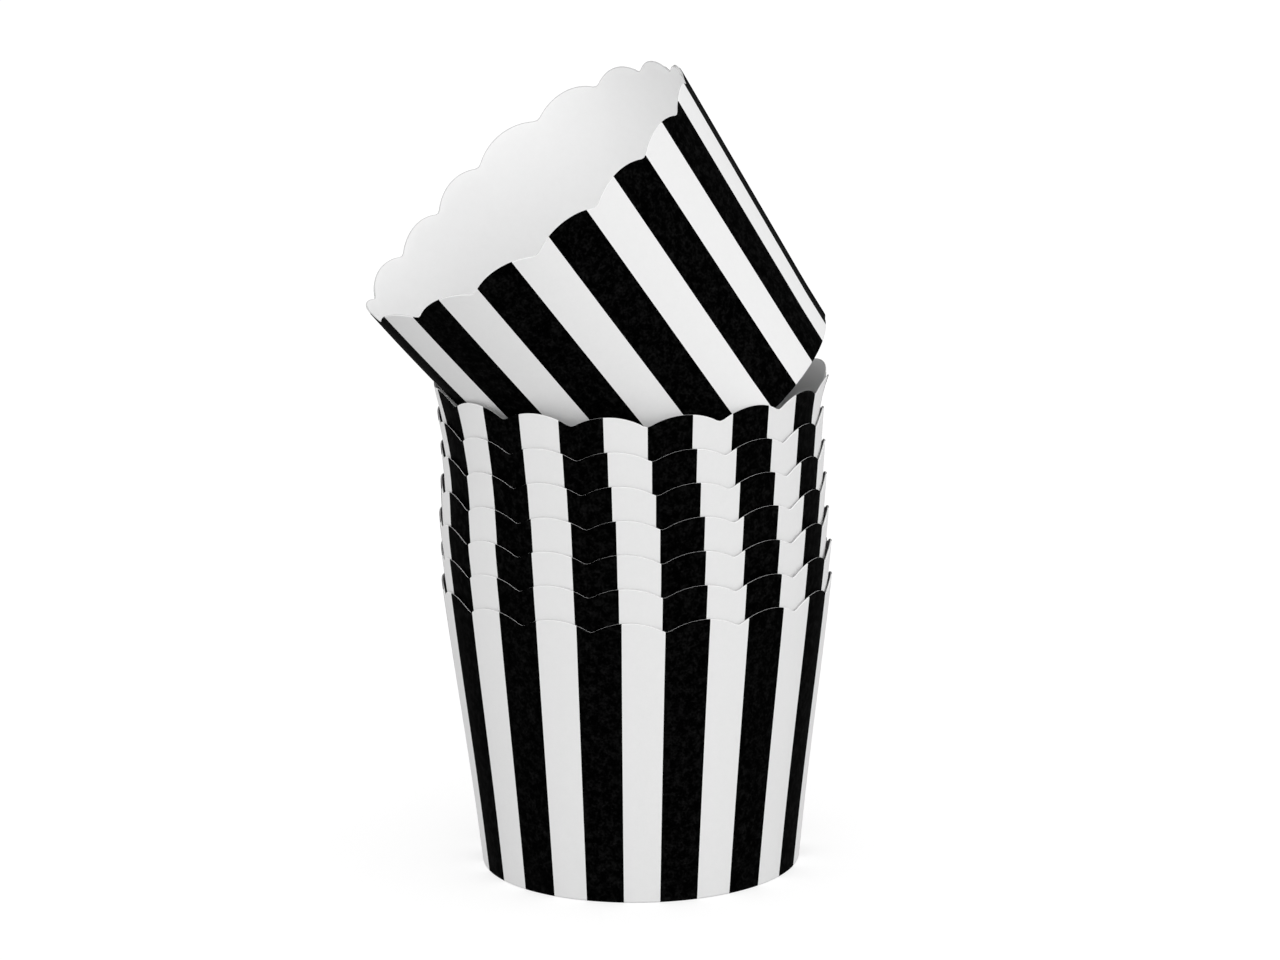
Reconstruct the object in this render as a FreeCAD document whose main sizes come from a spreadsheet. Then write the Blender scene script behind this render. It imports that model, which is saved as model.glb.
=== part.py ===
import FreeCAD, Part
import math
import os
import Sketcher

# A stack of stiff paper baking cups: seven stand nested in each other and an eighth leans to the
# left on the top of them. Each cup is a wall, which is one wrapped and scalloped sheet, and a base,
# which is a drawn disc held in the hem at the wall's lower end.
# Millimetres and degrees. The origin is the middle of the bottom cup's foot ring, on the table.
# A cup's own frame: +Z up its axis, z = 0 under its foot ring, a valley of the rim towards -Y.

SIZES = [
    # name, value, what it is
    ("rim_diameter", 60, "outside of the wall at the peaks of the rim"),
    ("base_diameter", 50, "outside of the wall at the foot ring"),
    ("cup_height", 46, "from the table to the peaks of the rim"),
    ("paper", 0.25, "thickness of one sheet"),
    ("base_recess", 5.1, "from the table to the underside of the base disc"),
    ("hem_height", 4.6, "how far the turned-in hem reaches up inside"),
    ("glue_gap", 0.02, "between a sheet and the sheet it is glued to"),
    ("skirt_gap", 0.15, "between the base's skirt and the bottom of the hem"),
    ("foot_rounding", 0.2, "outer radius of the fold under the foot ring"),
    ("bend_rounding", 0.6, "outer radius where the base disc turns down into its skirt"),
    ("scallop_count", 16, "scallops round the rim"),
    ("scallop_depth", 1.8, "from a peak of the rim down to a valley"),
    ("peak_trim", 0.05, "height that the cut takes off each scallop's crown"),
    ("lap_width", 6, "overlap of the glued seam, measured at the rim"),
    ("lap_place", 5.5, "scallops from the front valley round to the middle of the seam"),
    ("nest_gap", 0.04, "least gap between two nested cups"),
    ("lean_angle", 36.6, "tilt of the leaning cup's axis from upright"),
    ("lean_heading", 11.4, "how far the lean turns from straight left towards the front"),
    ("lean_turn", -21.8, "turn of the leaning cup about its own axis"),
    ("lean_gap", 0.25, "gap between the leaning cup and the rim that carries it"),
]

# How near an edge has to be to the place that names it.
EDGE_MATCH = 0.01

# Turn of each nested cup about its axis, from the table upwards.
CUP_TURNS = [8.8, 8.1, 8.4, 8.9, 7.7, 6.6, 5.2]

# How far each nested cup sits off the middle of the one below it, as a share of the free play
# between the two walls. Minus is to the left, away from the seams.
CUP_SHARES = [0, 0, -1, -0.6, 0, 0, 0]


def make_sheet(doc):
    """Put the driving dimensions into a spreadsheet, one named cell each."""
    sheet = doc.addObject("Spreadsheet::Sheet", "sizes")
    for row, (name, value, note) in enumerate(SIZES, start=1):
        sheet.set(f"A{row}", name)
        sheet.set(f"B{row}", str(value))
        sheet.set(f"C{row}", note)
        sheet.setAlias(f"B{row}", name)
    doc.recompute()
    return sheet


# Formulas over the sheet, used by more than one feature.
RIM_RADIUS = "sizes.rim_diameter / 2"
BASE_RADIUS = "sizes.base_diameter / 2"
TAPER = f"(({RIM_RADIUS} - {BASE_RADIUS}) / sizes.cup_height)"
SLANT = f"sqrt(1 + {TAPER}^2)"
SHEET = f"(sizes.paper * {SLANT})"
GLUE = f"(sizes.glue_gap * {SLANT})"
HALF_PITCH = f"({RIM_RADIUS} * sin(180deg / sizes.scallop_count))"
SAG = "(sizes.scallop_depth + sizes.peak_trim)"
SCALLOP_RADIUS = f"(({HALF_PITCH}^2 + {SAG}^2) / (2 * {SAG}))"


def wall_radius(height, sheets=0, gaps=0):
    """Formula for the outside of the wall at a height, less some sheets and glue gaps."""
    return f"{BASE_RADIUS} + {TAPER} * ({height}) - {sheets} * {SHEET} - {gaps} * {GLUE}"


def find_origin(body, role):
    """The body's own origin plane or axis of that role."""
    return next(item for item in body.Origin.OriginFeatures if item.Role == role)


def add_sketch(body, name, turn=None):
    """A sketch on the body's XZ plane: x is the radius and y the height. It may be turned about Z."""
    sketch = body.newObject("Sketcher::SketchObject", name)
    sketch.AttachmentSupport = [(find_origin(body, "XZ_Plane"), "")]
    sketch.MapMode = "FlatFace"
    if turn:
        sketch.setExpression("AttachmentOffset.Rotation.Angle", turn)
        upright = FreeCAD.Vector(0, 1, 0)
        sketch.AttachmentOffset = FreeCAD.Placement(FreeCAD.Vector(), FreeCAD.Rotation(upright, 1))
    return sketch


def pin_point(sketch, item, end, x, y):
    """Fix one end of a sketch item by its two formulas."""
    for kind, formula, axis in (("DistanceX", x, -2), ("DistanceY", y, -1)):
        if formula == "0":
            sketch.addConstraint(Sketcher.Constraint("PointOnObject", item, end, axis))
            continue
        value = float(sketch.evalExpression(formula))
        number = sketch.addConstraint(Sketcher.Constraint(kind, -1, 1, item, end, value))
        sketch.setExpression(f"Constraints[{number}]", formula)


def draw_outline(sketch, corners):
    """Draw a closed outline of straight lines through corners given as formulas."""
    points = []
    for x, y in corners:
        points.append(FreeCAD.Vector(float(sketch.evalExpression(x)), float(sketch.evalExpression(y)), 0))
    count = len(points)
    for index in range(count):
        sketch.addGeometry(Part.LineSegment(points[index], points[(index + 1) % count]), False)
    for index, (x, y) in enumerate(corners):
        sketch.addConstraint(Sketcher.Constraint("Coincident", index, 2, (index + 1) % count, 1))
        pin_point(sketch, index, 1, x, y)


def revolve(body, sketch, name, angle=None):
    """Turn a sketch about the body's Z axis, all the way round or evenly to both sides of it."""
    feature = body.newObject("PartDesign::Revolution", name)
    feature.Profile = sketch
    feature.ReferenceAxis = (sketch, ["V_Axis"])
    if angle:
        feature.Midplane = True
        feature.setExpression("Angle", angle)
    else:
        feature.Angle = 360
    return feature


def round_edges(body, doc, name, picks):
    """Round the body's circular edges. A pick is an edge's radius, its height and its rounding."""
    for number, (radius, height, rounding) in enumerate(picks, start=1):
        doc.recompute()
        base = body.Tip
        wanted = [float(base.evalExpression(formula)) for formula in (radius, height)]
        found = []
        for index, edge in enumerate(base.Shape.Edges, start=1):
            curve = edge.Curve
            if not isinstance(curve, Part.Circle):
                continue
            misses = (curve.Radius - wanted[0], edge.CenterOfMass.z - wanted[1])
            if max(abs(miss) for miss in misses) < EDGE_MATCH:
                found.append(f"Edge{index}")
        if not found:
            raise ValueError(f"no edge to round for {name} {number}")
        fillet = body.newObject("PartDesign::Fillet", f"{name}_{number}")
        fillet.Base = (base, found)
        fillet.setExpression("Radius", rounding)


def make_wall(doc, name):
    """The wall: a wrapped sheet with a hem turned in at the foot, a lapped seam and a scalloped rim."""
    body = doc.addObject("PartDesign::Body", name)

    # The sheet goes down the outside, under the base's skirt and up again as the hem.
    skin = add_sketch(body, "wall_section")
    foot = "sizes.paper"
    hem_top = "sizes.hem_height"
    top = "sizes.cup_height"
    draw_outline(skin, [
        (wall_radius("0"), "0"),
        (wall_radius(top), top),
        (wall_radius(top, 1), top),
        (wall_radius(foot, 1), foot),
        (wall_radius(foot, 2, 2), foot),
        (wall_radius(hem_top, 2, 2), hem_top),
        (wall_radius(hem_top, 3, 2), hem_top),
        (wall_radius("0", 3, 2), "0"),
    ])
    revolve(body, skin, "wrapped_sheet")
    round_edges(body, doc, "foot_fold", [
        (wall_radius("0"), "0", "sizes.foot_rounding"),
        (wall_radius("0", 3, 2), "0", "sizes.foot_rounding"),
    ])

    # The seam is a second thickness of the sheet outside the first one.
    lap = add_sketch(body, "lap_section", "sizes.lap_place * 360deg / sizes.scallop_count - 90deg")
    lap_foot = "sizes.foot_rounding"
    draw_outline(lap, [
        (wall_radius(lap_foot, 0.5), lap_foot),
        (wall_radius(lap_foot, -1), lap_foot),
        (wall_radius(top, -1), top),
        (wall_radius(top, 0.5), top),
    ])
    revolve(body, lap, "lapped_seam", f"sizes.lap_width / ({RIM_RADIUS}) * 180deg / pi")

    # One cut takes out the valley between two scallops, and a pattern repeats it round the rim.
    cut = add_sketch(body, "valley_section")
    crown = "sizes.cup_height + sizes.peak_trim"
    valley = f"{crown} - {SAG}"
    exit_height = "sizes.cup_height + sizes.peak_trim / 2"
    above_rim = "sizes.cup_height + sizes.scallop_depth"
    draw_valley(cut, valley, f"{crown} - {SCALLOP_RADIUS}", exit_height, above_rim)
    doc.recompute()
    before = body.Shape.Volume
    pocket = body.newObject("PartDesign::Pocket", "valley_cut")
    pocket.Profile = cut
    pocket.setExpression("Length", "sizes.rim_diameter")
    pattern = body.newObject("PartDesign::PolarPattern", "rim_scallops")
    pattern.Originals = [pocket]
    pattern.Axis = (find_origin(body, "Z_Axis"), [""])
    pattern.Angle = 360
    pattern.setExpression("Occurrences", "sizes.scallop_count")
    body.Tip = pattern
    doc.recompute()
    if body.Shape.Volume >= before:
        raise ValueError("the rim was not cut")
    return body


def draw_valley(sketch, valley, centre, exit_height, above_rim):
    """Draw the cut between two scallops: two arcs that meet in the valley, closed above the rim."""
    bottom = float(sketch.evalExpression(valley))
    middle = float(sketch.evalExpression(centre))
    leave = float(sketch.evalExpression(exit_height))
    half = float(sketch.evalExpression(HALF_PITCH))
    radius = float(sketch.evalExpression(SCALLOP_RADIUS))
    reach = half - math.sqrt(radius**2 - (leave - middle)**2)
    lift = float(sketch.evalExpression(above_rim))
    for side in (1, -1):
        circle = Part.Circle(FreeCAD.Vector(side * half, middle, 0), FreeCAD.Vector(0, 0, 1), radius)
        tips = (FreeCAD.Vector(0, bottom, 0), FreeCAD.Vector(side * reach, leave, 0))
        ends = [circle.parameter(tip) for tip in tips]
        sketch.addGeometry(Part.ArcOfCircle(circle, min(ends), max(ends)), False)
    right_up = Part.LineSegment(FreeCAD.Vector(reach, leave, 0), FreeCAD.Vector(reach, lift, 0))
    across = Part.LineSegment(FreeCAD.Vector(reach, lift, 0), FreeCAD.Vector(-reach, lift, 0))
    left_down = Part.LineSegment(FreeCAD.Vector(-reach, lift, 0), FreeCAD.Vector(-reach, leave, 0))
    for line in (right_up, across, left_down):
        sketch.addGeometry(line, False)
    # Items: 0 right arc, 1 left arc, 2 right line, 3 top line, 4 left line.
    joins = [(0, 2, 1, 1), (0, 1, 2, 1), (2, 2, 3, 1), (3, 2, 4, 1), (4, 2, 1, 2)]
    for join in joins:
        sketch.addConstraint(Sketcher.Constraint("Coincident", *join))
    sketch.addConstraint(Sketcher.Constraint("Vertical", 2))
    sketch.addConstraint(Sketcher.Constraint("Vertical", 4))
    pin_point(sketch, 0, 2, "0", valley)
    pin_point(sketch, 0, 3, HALF_PITCH, centre)
    pin_point(sketch, 1, 3, f"-{HALF_PITCH}", centre)
    for item, end, height in ((0, 1, exit_height), (1, 2, exit_height), (3, 1, above_rim)):
        number = sketch.addConstraint(Sketcher.Constraint("DistanceY", -1, 1, item, end, leave))
        sketch.setExpression(f"Constraints[{number}]", height)
    sketch.addConstraint(Sketcher.Constraint("Horizontal", 3))


def make_base(doc, name):
    """The base: a drawn disc whose skirt hangs down between the wall and its hem."""
    body = doc.addObject("PartDesign::Body", name)
    section = add_sketch(body, "base_section")
    low = "sizes.paper + sizes.skirt_gap"
    under = "sizes.base_recess"
    over = "sizes.base_recess + sizes.paper"
    draw_outline(section, [
        ("0", under),
        (wall_radius(under, 2, 1), under),
        (wall_radius(low, 2, 1), low),
        (wall_radius(low, 1, 1), low),
        (wall_radius(over, 1, 1), over),
        ("0", over),
    ])
    revolve(body, section, "drawn_disc")
    round_edges(body, doc, "skirt_bend", [
        (wall_radius(over, 1, 1), over, "sizes.bend_rounding"),
        (wall_radius(under, 2, 1), under, "sizes.bend_rounding - sizes.paper"),
    ])
    return body


def nest_pitch(sizes):
    """Height between nested cups: foot ring on the base below, or the walls if they wedge first."""
    seated = sizes.base_recess + sizes.paper + sizes.nest_gap
    wedged = (2 * sizes.paper + sizes.nest_gap) / math.sin(wall_angle(sizes))
    return max(seated, wedged)


def wall_angle(sizes):
    """Half the angle of the cup's cone, in radians."""
    return math.atan((sizes.rim_diameter - sizes.base_diameter) / 2 / sizes.cup_height)


def free_play(sizes):
    """How far a nested cup can move sideways in the one below it."""
    slant = math.cos(wall_angle(sizes))
    return nest_pitch(sizes) * math.tan(wall_angle(sizes)) - (sizes.paper + sizes.nest_gap) / slant


def nested_places(sizes):
    """Where each nested cup stands, from the table upwards."""
    places = []
    aside = 0
    for number, (turn, share) in enumerate(zip(CUP_TURNS, CUP_SHARES)):
        aside += share * free_play(sizes)
        spin = FreeCAD.Rotation(FreeCAD.Vector(0, 0, 1), turn)
        places.append(FreeCAD.Placement(FreeCAD.Vector(aside, 0, number * nest_pitch(sizes)), spin))
    return places


def leaning_place(sizes, carrier):
    """Where the leaning cup lies on the rim of the cup that carries it.

    Seen square to the lean, its wall lies on the near side of the rim and the edge of its foot ring
    crosses the rim at two points on the far side. The first gives the foot's middle as a line, the
    second as a circle, and together they are a quadratic in the foot's depth below the rim.
    """
    lean = math.radians(sizes.lean_angle)
    steep = math.tan(lean + wall_angle(sizes))
    foot = sizes.base_diameter / 2
    near_side = sizes.rim_diameter / 2 - sizes.lean_gap / math.cos(lean + wall_angle(sizes))
    far_side = sizes.rim_diameter / 2 - sizes.paper - sizes.lean_gap
    start = foot * (math.cos(lean) + math.sin(lean) * steep) - near_side
    rise = steep + 1 / math.tan(lean)
    square = rise**2 - 1 / math.sin(lean)**2
    middle = start * rise
    rest = start**2 + foot**2 - far_side**2
    depth = (math.sqrt(middle**2 - square * rest) - middle) / square
    aside = start + depth * steep

    heading = math.radians(sizes.lean_heading)
    away = FreeCAD.Vector(math.cos(heading), math.sin(heading), 0)
    rim = carrier.Base + FreeCAD.Vector(0, 0, sizes.cup_height)
    hinge = FreeCAD.Vector(-away.y, away.x, 0)
    tilt = FreeCAD.Rotation(hinge, -sizes.lean_angle)
    spin = FreeCAD.Rotation(FreeCAD.Vector(0, 0, 1), sizes.lean_turn)
    return FreeCAD.Placement(rim + away * aside - FreeCAD.Vector(0, 0, depth), tilt * spin)


def check(item):
    """Stop if an object of the document failed or its shape is no good."""
    bad = [state for state in item.State if state in ("Invalid", "Error")]
    if bad:
        raise ValueError(f"{item.Label} is {bad[0]}")
    has_shape = item.isDerivedFrom("Part::Feature") or item.isDerivedFrom("App::Link")
    if has_shape and (item.Shape.isNull() or not item.Shape.isValid()):
        raise ValueError(f"{item.Label} has no valid shape")


def main():
    os.makedirs("parts", exist_ok=True)
    doc = FreeCAD.newDocument("cupcake_liners")
    sizes = make_sheet(doc)

    wall = make_wall(doc, "cup_1_wall")
    base = make_base(doc, "cup_1_base")
    doc.recompute()

    places = nested_places(sizes)
    cups = [(f"cup_{number}", place) for number, place in enumerate(places, start=1)]
    cups.append(("tilted_cup", leaning_place(sizes, places[-1])))

    nodes = []
    for cup, place in cups:
        for first, piece in ((wall, "wall"), (base, "base")):
            node = first
            if cup != "cup_1":
                node = doc.addObject("App::Link", f"{cup}_{piece}")
                node.LinkedObject = first
            node.Label = f"{cup}_{piece}"
            node.Placement = place
            nodes.append(node)
    doc.recompute()

    for item in doc.Objects:
        check(item)
    for node in nodes:
        node.Shape.exportStep(f"parts/{node.Label}.step")
        print(node.Label, round(node.Shape.Volume, 3), len(node.Shape.Solids), node.Placement.Base)


main()
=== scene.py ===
import math

import bpy
from mathutils import Matrix, Vector


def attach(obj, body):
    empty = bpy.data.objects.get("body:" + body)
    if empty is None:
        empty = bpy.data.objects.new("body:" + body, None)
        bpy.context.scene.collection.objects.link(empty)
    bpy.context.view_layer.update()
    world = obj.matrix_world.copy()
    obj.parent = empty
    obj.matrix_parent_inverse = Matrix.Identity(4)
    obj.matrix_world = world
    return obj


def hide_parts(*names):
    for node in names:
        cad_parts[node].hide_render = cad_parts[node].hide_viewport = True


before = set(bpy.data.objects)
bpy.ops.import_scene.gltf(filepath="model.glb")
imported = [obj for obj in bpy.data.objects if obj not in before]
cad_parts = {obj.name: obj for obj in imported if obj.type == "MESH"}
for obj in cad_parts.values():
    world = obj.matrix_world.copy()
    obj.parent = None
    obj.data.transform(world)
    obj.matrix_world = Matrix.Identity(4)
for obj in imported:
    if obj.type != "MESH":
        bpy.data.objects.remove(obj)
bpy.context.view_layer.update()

# Cups are shaped in millimetres in their own frame: +Z up the axis, z = 0 under the foot ring and
# angles in degrees from -Y towards +X, with a valley of the rim at 0. MM takes them to metres.
MM = 0.001

# One cup, as the frame has it.
RIM_RADIUS = 30.0
BASE_RADIUS = 25.0
CUP_HEIGHT = 46.0
PAPER = 0.25
BASE_RECESS = 5.1
HEM_HEIGHT = 4.6
SCALLOPS = 16
SCALLOP_DEPTH = 1.8
SEAM_ANGLE = 123.75
LAP_WIDTH = 6.0

# Finer forms of the sheet. The hem's edge is uneven, by waves of a count and a size.
LAP_RAMP = 2.2
LAP_GAP = 0.01
GLUE_GAP = 0.02
CUT_ROUNDING = 0.04
PRINT_ROUNDING = 0.1
FOLD_ROUNDING = 0.3
VALLEY_ROUNDING = 0.6
HEM_WAVES = [(3, 0.12), (11, 0.07)]

# Steps of the sheet's mesh, and how near an even column may come to an edge of the print, in degrees.
COLUMNS_PER_SCALLOP = 20
WALL_ROWS = 26
FOLD_STEPS = 4
HEM_ROWS = 4
NEAREST_COLUMN = 0.3

# Faces that meet at more degrees than this are shaded with a sharp edge.
SHARP_ANGLE = 40

# A face of the frame's base is part of its flat disc where the cosine to the axis is over this.
FLAT_COSINE = 0.9999

# The print, in degrees round a cup: one of the black stripes starts near the front valley.
STRIPE_PERIOD = 26.4
BLACK_WIDTH = 13.5
STRIPE_START = -0.5

# Each cup's turn about its axis, how far its print is off the die cut, and how far its sheet is
# wrapped askew, so that the stripes turn with the height, all in degrees.
CUPS = {
    "cup_1": (8.8, 0, 1.7),
    "cup_2": (8.1, 0, 1),
    "cup_3": (8.4, 0, 1),
    "cup_4": (8.9, -0.2, 1),
    "cup_5": (7.7, 0, 1),
    "cup_6": (6.6, 0.2, 1),
    "cup_7": (5.2, 0.6, 1),
    "tilted_cup": (-21.8, 2.6, 1),
}

# The nested cups are a little wider from left to right half way up the stack, stand a little to the
# right below that, and are pressed in on the left further up. The middles are heights in the frame.
STACK_MIDDLE = 48
STACK_REACH = 42
STACK_WIDENING = 0.6
STACK_SHIFT = 0.33
DENT_MIDDLE = 65
DENT_REACH = 12
DENT_SIZE = 0.7

# The top nested cup's rim is flared where the leaning cup pushes it, at the right with its foot and
# at the left with its wall: how far, towards which angle and how widely. The flare starts at
# FREE_HEIGHT under the rim and grows with this power of the height.
FREE_HEIGHT = 6
FLARE_POWER = 1.5
RIM_FLARES = [(1.65, 103, 30), (0.65, -77, 25)]

# The leaning cup is out of round above its held foot: waves round the rim by their count, their
# size and the angle that they stand out towards, and a rim that is higher on one side.
HELD_HEIGHT = 6
LEANING_WAVES = [(1, 2.15, 107), (2, 3.0, -8.3), (3, 1.63, -46.2), (4, 0.86, 22)]
RIM_TILT = 1.05
RIM_TILT_TOWARDS = -71

# Its foot stands a little right of its place in the frame and below it. That dies out at the rim.
LEANING_FOOT_SHIFT = (0.45, 0.0, -0.35)

# Its low side is bowed out, half way up, where it lies on the rim below.
BOW_SIZE = 0.7
BOW_TOWARDS = -68
BOW_SPREAD = 40

# Finer forms of the base. The rings are shares of the disc's radius.
BASE_COLUMNS = 240
DISC_RINGS = [0, 0.12, 0.25, 0.38, 0.5, 0.62, 0.72, 0.8, 0.84, 0.88, 0.92, 0.96]
BEND_ROUNDING = 0.6
BEND_STEPS = 5
SKIRT_FOOT = 0.55
PLEATS = 40
PLEAT_DEPTH = 0.012
DISC_BOW = 0.15
PRESS_RADIUS = 21.5
PRESS_WIDTH = 0.7
PRESS_DEPTH = 0.08

# Grain of the paper: how many clouds, grains and fibres there are to the metre, each with its levels
# of finer detail, how far the fibres are drawn out upwards, the clouds' share in the tone, and the
# range of the grain over which the roughness changes.
CLOUDS = (900, 3)
GRAIN = (2600, 4)
FIBRES = (5200, 2)
FIBRE_STRETCH = (1.0, 1.0, 0.25)
CLOUD_SHARE = 0.5
GRAIN_RANGE = (0.3, 0.7)

# The floor, in metres. What it throws back onto the object is of its own color. The camera sees
# another one, which takes the shadow, with a glow that makes the rest of the floor white.
FLOOR_SIZE = 6.0
FLOOR_COLOR = (0.5, 0.5, 0.5, 1)
FLOOR_ROUGHNESS = 0.9
FLOOR_GLOSS = 0.1
FLOOR_SEEN_COLOR = (0.35, 0.35, 0.35, 1)
FLOOR_GLOW = 0.7

# The lights: the strength of the even light all round, and where each lamp comes from, its softness
# in degrees and its watts to the square metre.
WORLD_LIGHT = 0.9
FRONT_FROM = (0.0, -1.0, 0.15)
FRONT_SOFTNESS = 70
FRONT_STRENGTH = 1.15
RIGHT_FROM = (1.0, -0.3, 0.5)
RIGHT_SOFTNESS = 60
RIGHT_STRENGTH = 0.3

# The camera, as the photograph's perspective gives it, in metres and degrees. Its lens and sensor are
# in millimetres.
TARGET = (1.06 * MM, 0.0, 61.22 * MM)
CAMERA_DISTANCE = 1.0
CAMERA_ELEVATION = 13.98
CAMERA_ROLL = -0.868
CAMERA_LENS = 180.1
SENSOR_WIDTH = 36.0
NEAREST_SEEN = 0.01

# Worked out from these: the slope of the wall, the sheet's thickness measured level, and the degrees
# from one valley of the rim to the next.
TAPER = (RIM_RADIUS - BASE_RADIUS) / CUP_HEIGHT
SHEET = PAPER * math.hypot(1, TAPER)
SCALLOP_PITCH = 360 / SCALLOPS


def scallop_height(angle):
    """Height of the rim at an angle: convex arcs that meet in softly rounded valleys."""
    half = RIM_RADIUS * math.sin(math.radians(SCALLOP_PITCH / 2))
    radius = (half**2 + SCALLOP_DEPTH**2) / (2 * SCALLOP_DEPTH)
    away = abs((angle + SCALLOP_PITCH / 2) % SCALLOP_PITCH - SCALLOP_PITCH / 2)
    from_valley = math.radians(away) * RIM_RADIUS
    reach = max(half - max(from_valley, VALLEY_ROUNDING), 0)
    height = CUP_HEIGHT - radius + math.sqrt(radius**2 - reach**2)
    if from_valley < VALLEY_ROUNDING:
        slope = reach / math.sqrt(radius**2 - reach**2)
        height -= slope * (VALLEY_ROUNDING**2 - from_valley**2) / (2 * VALLEY_ROUNDING)
    return height


def smooth_step(value):
    """0 below 0, 1 above 1 and an even S between them."""
    value = min(max(value, 0), 1)
    return value * value * (3 - 2 * value)


def bump(value, middle, reach):
    """1 at the middle, 0 at its reach and beyond it, and smooth between them."""
    away = min(abs(value - middle) / reach, 1)
    return 0.5 + 0.5 * math.cos(math.pi * away)


def hill(angle, middle, spread):
    """1 at the middle and falling off evenly to both sides of it, for angles round a cup."""
    aside = (angle - middle + 180) % 360 - 180
    return math.exp(-(aside / spread)**2)


def is_black(angle, start):
    """Whether the print is black at an angle of the sheet, where one black stripe has its start."""
    return (angle - start) % STRIPE_PERIOD < BLACK_WIDTH


def sheet_columns(start):
    """Angles of the sheet's columns, from its end under the seam round to its end over the seam."""
    half_lap = math.degrees(LAP_WIDTH / 2 / RIM_RADIUS)
    first = SEAM_ANGLE - 360 - half_lap
    last = SEAM_ANGLE + half_lap
    fixed = [first, last]
    for edge in (start, start + BLACK_WIDTH):
        lowest = math.ceil((first - edge) / STRIPE_PERIOD)
        past_last = math.ceil((last - edge) / STRIPE_PERIOD)
        fixed += [edge + STRIPE_PERIOD * n for n in range(lowest, past_last)]
    step = SCALLOP_PITCH / COLUMNS_PER_SCALLOP
    columns = list(fixed)
    for n in range(math.ceil(first / step), math.floor(last / step) + 1):
        angle = n * step
        is_valley = n % COLUMNS_PER_SCALLOP == 0
        if is_valley or min(abs(angle - other) for other in fixed) > NEAREST_COLUMN:
            columns.append(angle)
    return sorted(columns)


def sheet_section(angle, first, last):
    """The sheet's closed section at an angle, as (radius, height, face kind).

    It starts at the rim's outer corner and goes down the printed face, round the fold at the foot,
    up the hem, over the hem's edge, down into the fold again and up the plain face. Over the seam it
    stands one sheet further out.
    """
    lap = math.degrees(LAP_WIDTH / RIM_RADIUS)
    ramp = math.degrees(LAP_RAMP / RIM_RADIUS)
    over = smooth_step((angle - (last - lap - ramp)) / ramp) * (SHEET + LAP_GAP)
    under = smooth_step((first + lap + ramp - angle) / ramp) * SHEET
    rim = scallop_height(angle)

    def outside(height):
        return BASE_RADIUS + TAPER * height + over

    def inside(height):
        return outside(height) - SHEET

    low = FOLD_ROUNDING + under
    points = []
    points.append((outside(rim) - PRINT_ROUNDING, rim, "edge"))
    top = rim - PRINT_ROUNDING
    for row in range(WALL_ROWS + 1):
        height = top + (low - top) * row / WALL_ROWS
        points.append((outside(height), height, "print"))
    hem_back = BASE_RADIUS - 2 * SHEET - 2 * GLUE_GAP - over
    hem_front = hem_back - SHEET
    for step in range(1, FOLD_STEPS + 1):
        turn = math.radians(90 * step / FOLD_STEPS)
        points.append((outside(low) - FOLD_ROUNDING * (1 - math.cos(turn)),
                       low - FOLD_ROUNDING * math.sin(turn), "print"))
    for step in range(FOLD_STEPS + 1):
        turn = math.radians(90 * step / FOLD_STEPS)
        points.append((hem_front + TAPER * low + FOLD_ROUNDING * (1 - math.sin(turn)),
                       low - FOLD_ROUNDING * math.cos(turn), "print"))
    waves = [size * math.sin(math.radians(count * angle)) for count, size in HEM_WAVES]
    hem_top = sum(waves, HEM_HEIGHT)
    for row in range(1, HEM_ROWS + 1):
        height = low + (hem_top - low) * row / HEM_ROWS
        points.append((hem_front + TAPER * height, height, "print"))
    points.append((hem_back + TAPER * hem_top, hem_top, "edge"))
    trough = PAPER + under
    points.append((hem_back + TAPER * trough, trough, "plain"))
    points.append((inside(trough), trough, "plain"))
    for row in range(WALL_ROWS + 1):
        height = trough + (top - trough) * (row + 1) / (WALL_ROWS + 1)
        points.append((inside(height), height, "plain"))
    points.append((inside(rim) + CUT_ROUNDING, rim, "edge"))
    return points


def wall_point(cup, angle, radius, height):
    """A point of a cup's wall in its own frame.

    The leaning cup's wall is out of round: round the rim and up the slant the paper keeps its length.
    """
    _, _, skew = CUPS[cup]
    theta = math.radians(angle - skew * (1 - height / CUP_HEIGHT))
    if cup == "cup_7" and height > CUP_HEIGHT - FREE_HEIGHT:
        rise = (height - CUP_HEIGHT + FREE_HEIGHT) / FREE_HEIGHT
        pushes = [size * hill(angle, towards, spread) for size, towards, spread in RIM_FLARES]
        flare = rise**FLARE_POWER * sum(pushes)
        radius += flare
        height -= flare * (TAPER + flare / (2 * FREE_HEIGHT))
    if cup == "tilted_cup" and height > HELD_HEIGHT:
        reach = CUP_HEIGHT - HELD_HEIGHT
        rise = (height - HELD_HEIGHT) / reach
        out = 0
        along = 0
        for count, size, towards in LEANING_WAVES:
            phase = count * (theta - math.radians(towards))
            out += size * math.cos(phase)
            along -= size * math.sin(phase) / count
        slope = TAPER + out / reach
        height = HELD_HEIGHT + (height - HELD_HEIGHT) * math.sqrt(1 + TAPER**2 - slope**2)
        height += rise * RIM_TILT * math.cos(theta - math.radians(RIM_TILT_TOWARDS))
        bow = BOW_SIZE * 4 * rise * (1 - rise) * hill(angle, BOW_TOWARDS, BOW_SPREAD)
        theta += rise * along / radius
        radius += rise * out + bow
    return radius * math.sin(theta), -radius * math.cos(theta), height


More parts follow.
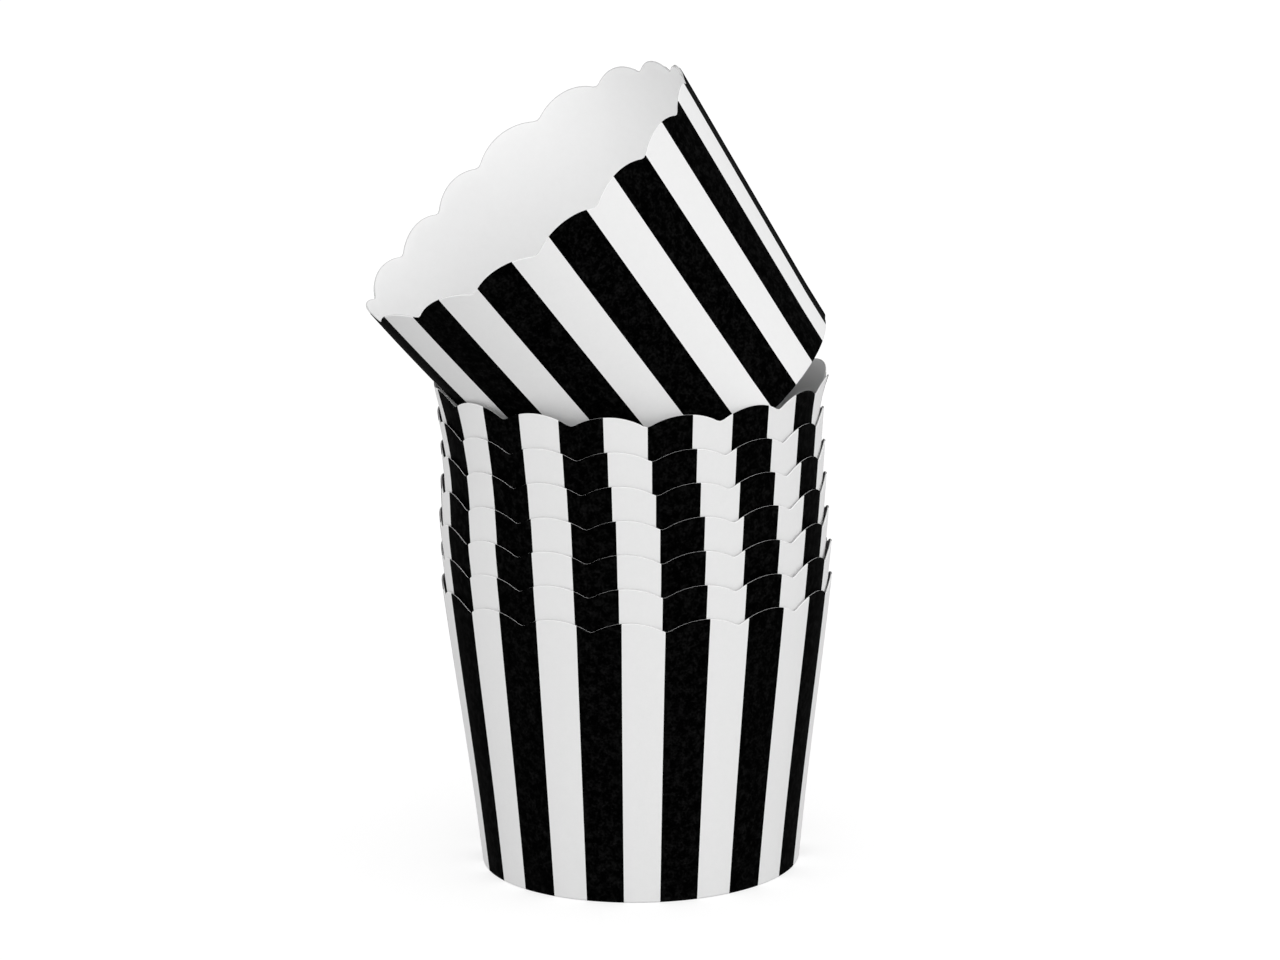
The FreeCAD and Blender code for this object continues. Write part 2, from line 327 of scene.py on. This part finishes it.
def in_frame(cup, point, place):
    """A cup's own point in the frame.

    The nested cups are all out of round alike at one height. The leaning cup's foot is moved.
    """
    at = place @ (Vector(point) * MM)
    if cup == "tilted_cup":
        return at + Vector(LEANING_FOOT_SHIFT) * MM * (1 - point[2] / CUP_HEIGHT)
    level = at.z / MM
    radius = max(math.hypot(at.x, at.y), BASE_RADIUS * MM)
    share = bump(level, STACK_MIDDLE, STACK_REACH)
    shift = STACK_SHIFT * bump(max(level, STACK_MIDDLE), STACK_MIDDLE, STACK_REACH)
    wider = share * STACK_WIDENING * (at.x / radius)**3
    narrower = share * STACK_WIDENING * (at.y / radius)**3
    dent = bump(level, DENT_MIDDLE, DENT_REACH) * DENT_SIZE * max(-at.x / radius, 0)**3
    return at + Vector((shift + wider + dent, -narrower, 0)) * MM


def write_mesh(cup, part, points, faces, kinds, slots, place):
    """A smooth-shaded mesh object from points in a cup's frame, put at its place in metres."""
    name = f"{cup}_{part}"
    mesh = bpy.data.meshes.new(name)
    mesh.from_pydata([in_frame(cup, point, place) for point in points], [], faces)
    for material in slots.values():
        mesh.materials.append(material)
    order = list(slots)
    mesh.polygons.foreach_set("material_index", [order.index(kind) for kind in kinds])
    mesh.shade_smooth()
    mesh.set_sharp_from_angle(angle=math.radians(SHARP_ANGLE))
    mesh.validate()
    piece = bpy.data.objects.new(name, mesh)
    bpy.context.scene.collection.objects.link(piece)
    return piece


def build_wall(cup, place, stock):
    """One cup's wall: the whole sheet, wrapped, lapped at the seam and hemmed at the foot."""
    _, print_off, _ = CUPS[cup]
    start = STRIPE_START + print_off
    columns = sheet_columns(start)
    points = []
    faces = []
    kinds = []
    for column, angle in enumerate(columns):
        section = sheet_section(angle, columns[0], columns[-1])
        count = len(section)
        for radius, height, _ in section:
            points.append(wall_point(cup, angle, radius, height))
        if column == 0:
            continue
        middle = (angle + columns[column - 1]) / 2
        for row in range(count):
            after = (row + 1) % count
            here = column * count
            faces.append((here + row, here - count + row, here - count + after, here + after))
            kind = section[after][2]
            if kind == "print":
                kind = "black" if is_black(middle, start) else "white"
            kinds.append(kind)
    faces.append(tuple(reversed(range(count))))
    faces.append(tuple(range(len(points) - count, len(points))))
    kinds += ["edge", "edge"]
    piece = write_mesh(cup, "sheet", points, faces, kinds, stock, place)
    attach(piece, "root")
    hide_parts(f"{cup}_wall")


def cup_place(cup, turn):
    """Where a cup stands, read from the flat disc of its base in the frame, with its own turn."""
    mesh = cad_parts[f"{cup}_base"].data
    axis = max(mesh.polygons, key=lambda face: face.area).normal.copy()
    if axis.z < 0:
        axis.negate()
    flat = [face for face in mesh.polygons if face.normal.dot(axis) > FLAT_COSINE]
    corners = {corner for face in flat for corner in face.vertices}
    middle = sum((mesh.vertices[corner].co for corner in corners), Vector()) / len(corners)
    foot = middle - axis * (BASE_RECESS + PAPER) * MM
    tilt = Vector((0, 0, 1)).rotation_difference(axis).to_matrix().to_4x4()
    return Matrix.Translation(foot) @ tilt @ Matrix.Rotation(math.radians(turn), 4, "Z")


def base_profile():
    """The drawn disc's section from the middle of its top, out, down the skirt and back under it."""
    top = BASE_RECESS + PAPER
    edge = BASE_RADIUS + TAPER * top - SHEET - GLUE_GAP

    def skirt(height):
        return edge - TAPER * (top - height)

    profile = [(edge * share, top, 0.0) for share in DISC_RINGS]
    for step in range(1, BEND_STEPS + 1):
        turn = math.radians(90 * step / BEND_STEPS)
        height = top - BEND_ROUNDING * (1 - math.cos(turn))
        profile.append((skirt(height) - BEND_ROUNDING * (1 - math.sin(turn)), height, step / BEND_STEPS))
    profile.append((skirt(SKIRT_FOOT), SKIRT_FOOT, 1.0))
    profile.append((skirt(SKIRT_FOOT) - SHEET, SKIRT_FOOT, 1.0))
    inner = BEND_ROUNDING - PAPER
    for step in range(BEND_STEPS, 0, -1):
        turn = math.radians(90 * step / BEND_STEPS)
        height = BASE_RECESS - inner * (1 - math.cos(turn))
        profile.append((skirt(height) - SHEET - inner * (1 - math.sin(turn)), height, step / BEND_STEPS))
    profile += [(edge * share, BASE_RECESS, 0.0) for share in reversed(DISC_RINGS)]
    return profile


def build_base(cup, place, stock):
    """One cup's base: a drawn disc, bowed a little, with fine pleats where it turns down."""
    profile = base_profile()
    points = []
    for column in range(BASE_COLUMNS):
        theta = 2 * math.pi * column / BASE_COLUMNS
        pleat = 0.5 - 0.5 * math.cos(PLEATS * theta)
        for radius, height, fold in profile[1:-1]:
            share = radius / BASE_RADIUS
            bow = DISC_BOW * (1 - min(share, 1)**2)
            ring = PRESS_DEPTH * math.exp(-((radius - PRESS_RADIUS) / PRESS_WIDTH)**2)
            inward = PLEAT_DEPTH * pleat * fold
            points.append(((radius - inward) * math.sin(theta), -(radius - inward) * math.cos(theta),
                           height - (bow + ring) * (fold == 0)))
    count = len(profile) - 2
    faces = []
    for column in range(BASE_COLUMNS):
        after = (column + 1) % BASE_COLUMNS
        for row in range(count - 1):
            faces.append((column * count + row, column * count + row + 1,
                          after * count + row + 1, after * count + row))
    points.append((0, 0, profile[0][1] - DISC_BOW))
    points.append((0, 0, profile[-1][1] - DISC_BOW))
    for column in range(BASE_COLUMNS):
        after = (column + 1) % BASE_COLUMNS
        faces.append((len(points) - 2, column * count, after * count))
        faces.append((len(points) - 1, after * count + count - 1, column * count + count - 1))
    piece = write_mesh(cup, "disc", points, faces, ["plain"] * len(faces), stock, place)
    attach(piece, "root")
    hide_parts(f"{cup}_base")


def paper_material(name, tone, darkest, mottle, roughness, gloss, fibre_depth):
    """Matt paper of a grey tone: cloudy, with fine fibres in the surface and uneven roughness.

    The tone falls to its darkest share where the mottle is at its low end, and is full at its high end;
    on black print these specks are partly painted sheen.
    """
    material = bpy.data.materials.new(name)
    material.use_nodes = True
    nodes = material.node_tree.nodes
    links = material.node_tree.links
    shader = nodes["Principled BSDF"]
    shader.inputs["Specular IOR Level"].default_value = gloss
    place = nodes.new("ShaderNodeTexCoord").outputs["Object"]

    def noise(scale, detail, stretch=None):
        texture = nodes.new("ShaderNodeTexNoise")
        texture.inputs["Scale"].default_value = scale
        texture.inputs["Detail"].default_value = detail
        if stretch:
            mapping = nodes.new("ShaderNodeMapping")
            mapping.inputs["Scale"].default_value = stretch
            links.new(place, mapping.inputs["Vector"])
            links.new(mapping.outputs["Vector"], texture.inputs["Vector"])
        else:
            links.new(place, texture.inputs["Vector"])
        return texture.outputs["Fac"]

    clouds = noise(*CLOUDS)
    grain = noise(*GRAIN)
    fibres = noise(*FIBRES, FIBRE_STRETCH)

    cloudiness = nodes.new("ShaderNodeMath")
    cloudiness.operation = "MULTIPLY_ADD"
    cloudiness.inputs[1].default_value = CLOUD_SHARE
    links.new(clouds, cloudiness.inputs[0])
    grain_part = nodes.new("ShaderNodeMath")
    grain_part.operation = "MULTIPLY"
    grain_part.inputs[1].default_value = 1 - CLOUD_SHARE
    links.new(grain, grain_part.inputs[0])
    links.new(grain_part.outputs[0], cloudiness.inputs[2])
    ramp = nodes.new("ShaderNodeValToRGB")
    for element, position, share in zip(ramp.color_ramp.elements, mottle, (darkest, 1.0)):
        element.position = position
        element.color = [tone * share] * 3 + [1]
    links.new(cloudiness.outputs[0], ramp.inputs["Fac"])
    links.new(ramp.outputs["Color"], shader.inputs["Base Color"])

    rough = nodes.new("ShaderNodeMapRange")
    rough.inputs["From Min"].default_value = GRAIN_RANGE[0]
    rough.inputs["From Max"].default_value = GRAIN_RANGE[1]
    rough.inputs["To Min"].default_value = roughness[0]
    rough.inputs["To Max"].default_value = roughness[1]
    links.new(grain, rough.inputs["Value"])
    links.new(rough.outputs["Result"], shader.inputs["Roughness"])

    relief = nodes.new("ShaderNodeMath")
    relief.operation = "ADD"
    links.new(grain, relief.inputs[0])
    links.new(fibres, relief.inputs[1])
    surface = nodes.new("ShaderNodeBump")
    surface.inputs["Strength"].default_value = 1.0
    surface.inputs["Distance"].default_value = fibre_depth
    links.new(relief.outputs[0], surface.inputs["Height"])
    links.new(surface.outputs["Normal"], shader.inputs["Normal"])
    return material


def choose_when_seen(tree, unseen, seen, output):
    """One shader lights the scene and another is what the camera and reflections see."""
    path = tree.nodes.new("ShaderNodeLightPath")
    camera_or_gloss = tree.nodes.new("ShaderNodeMath")
    camera_or_gloss.operation = "MAXIMUM"
    tree.links.new(path.outputs["Is Camera Ray"], camera_or_gloss.inputs[0])
    tree.links.new(path.outputs["Is Glossy Ray"], camera_or_gloss.inputs[1])
    choice = tree.nodes.new("ShaderNodeMixShader")
    tree.links.new(camera_or_gloss.outputs[0], choice.inputs["Fac"])
    tree.links.new(unseen.outputs[0], choice.inputs[1])
    tree.links.new(seen.outputs[0], choice.inputs[2])
    tree.links.new(choice.outputs[0], output.inputs["Surface"])


def build_floor():
    """A grey floor that the camera sees as white, apart from the object's soft shadow."""
    mesh = bpy.data.meshes.new("floor")
    half = FLOOR_SIZE / 2
    corners = [(-half, -half, 0), (half, -half, 0), (half, half, 0), (-half, half, 0)]
    mesh.from_pydata(corners, [], [(0, 1, 2, 3)])
    floor = bpy.data.objects.new("floor", mesh)
    bpy.context.scene.collection.objects.link(floor)
    material = bpy.data.materials.new("pale_floor")
    material.use_nodes = True
    nodes = material.node_tree.nodes
    links = material.node_tree.links
    plain = nodes["Principled BSDF"]
    plain.inputs["Base Color"].default_value = FLOOR_COLOR
    plain.inputs["Roughness"].default_value = FLOOR_ROUGHNESS
    plain.inputs["Specular IOR Level"].default_value = FLOOR_GLOSS
    shade = nodes.new("ShaderNodeBsdfDiffuse")
    shade.inputs["Color"].default_value = FLOOR_SEEN_COLOR
    glow = nodes.new("ShaderNodeEmission")
    glow.inputs["Strength"].default_value = FLOOR_GLOW
    white = nodes.new("ShaderNodeAddShader")
    links.new(shade.outputs[0], white.inputs[0])
    links.new(glow.outputs[0], white.inputs[1])
    choose_when_seen(material.node_tree, plain, white, nodes["Material Output"])
    mesh.materials.append(material)


def build_world():
    """Even pale light all round, and plain white where the camera sees past the floor."""
    world = bpy.data.worlds.new("studio")
    bpy.context.scene.world = world
    world.use_nodes = True
    nodes = world.node_tree.nodes
    light = nodes["Background"]
    light.inputs["Color"].default_value = (1, 1, 1, 1)
    light.inputs["Strength"].default_value = WORLD_LIGHT
    white = nodes.new("ShaderNodeBackground")
    white.inputs["Color"].default_value = (1, 1, 1, 1)
    white.inputs["Strength"].default_value = 1.0
    choose_when_seen(world.node_tree, light, white, nodes["World Output"])


def add_lamp(name, comes_from, softness, strength):
    """A far, soft lamp that shines from a direction on the whole scene alike."""
    lamp = bpy.data.lights.new(name, "SUN")
    lamp.angle = math.radians(softness)
    lamp.energy = strength
    item = bpy.data.objects.new(name, lamp)
    item.rotation_euler = (-Vector(comes_from)).to_track_quat("-Z", "Y").to_euler()
    bpy.context.scene.collection.objects.link(item)


def build_camera():
    """The photograph's view: a long lens, straight in front and about 14 degrees above level."""
    rise = math.radians(CAMERA_ELEVATION)
    forward = Vector((0, math.cos(rise), -math.sin(rise)))
    data = bpy.data.cameras.new("camera")
    data.sensor_width = SENSOR_WIDTH
    data.lens = CAMERA_LENS
    data.clip_start = NEAREST_SEEN
    camera = bpy.data.objects.new("camera", data)
    look = forward.to_track_quat("-Z", "Y").to_matrix().to_4x4()
    roll = Matrix.Rotation(math.radians(CAMERA_ROLL), 4, "Z")
    camera.matrix_world = Matrix.Translation(Vector(TARGET) - forward * CAMERA_DISTANCE) @ look @ roll
    bpy.context.scene.collection.objects.link(camera)
    bpy.context.scene.camera = camera


build_camera()
build_floor()
build_world()
add_lamp("front_lamp", FRONT_FROM, FRONT_SOFTNESS, FRONT_STRENGTH)
add_lamp("right_lamp", RIGHT_FROM, RIGHT_SOFTNESS, RIGHT_STRENGTH)
bpy.context.scene.view_settings.view_transform = "Standard"

stock = {
    "white": paper_material("white_print", tone=0.85, darkest=0.975, mottle=(0.3, 0.7),
                            roughness=(0.75, 0.9), gloss=0.2, fibre_depth=0.01 * MM),
    # The black print is near black with sparse lighter specks up to its tone: partly its grain, partly a
    # painted sheen of its fibres.
    "black": paper_material("black_print", tone=0.008, darkest=0.02, mottle=(0.46, 0.72),
                            roughness=(0.6, 0.8), gloss=0.004, fibre_depth=0.01 * MM),
    "plain": paper_material("plain_side", tone=0.92, darkest=0.98, mottle=(0.3, 0.7),
                            roughness=(0.8, 0.95), gloss=0.15, fibre_depth=0.01 * MM),
    "edge": paper_material("cut_edge", tone=0.65, darkest=0.9, mottle=(0.3, 0.7),
                           roughness=(0.85, 0.95), gloss=0.1, fibre_depth=0.02 * MM),
}
for cup, (turn, _, _) in CUPS.items():
    place = cup_place(cup, turn)
    build_wall(cup, place, stock)
    build_base(cup, place, {"plain": stock["plain"]})
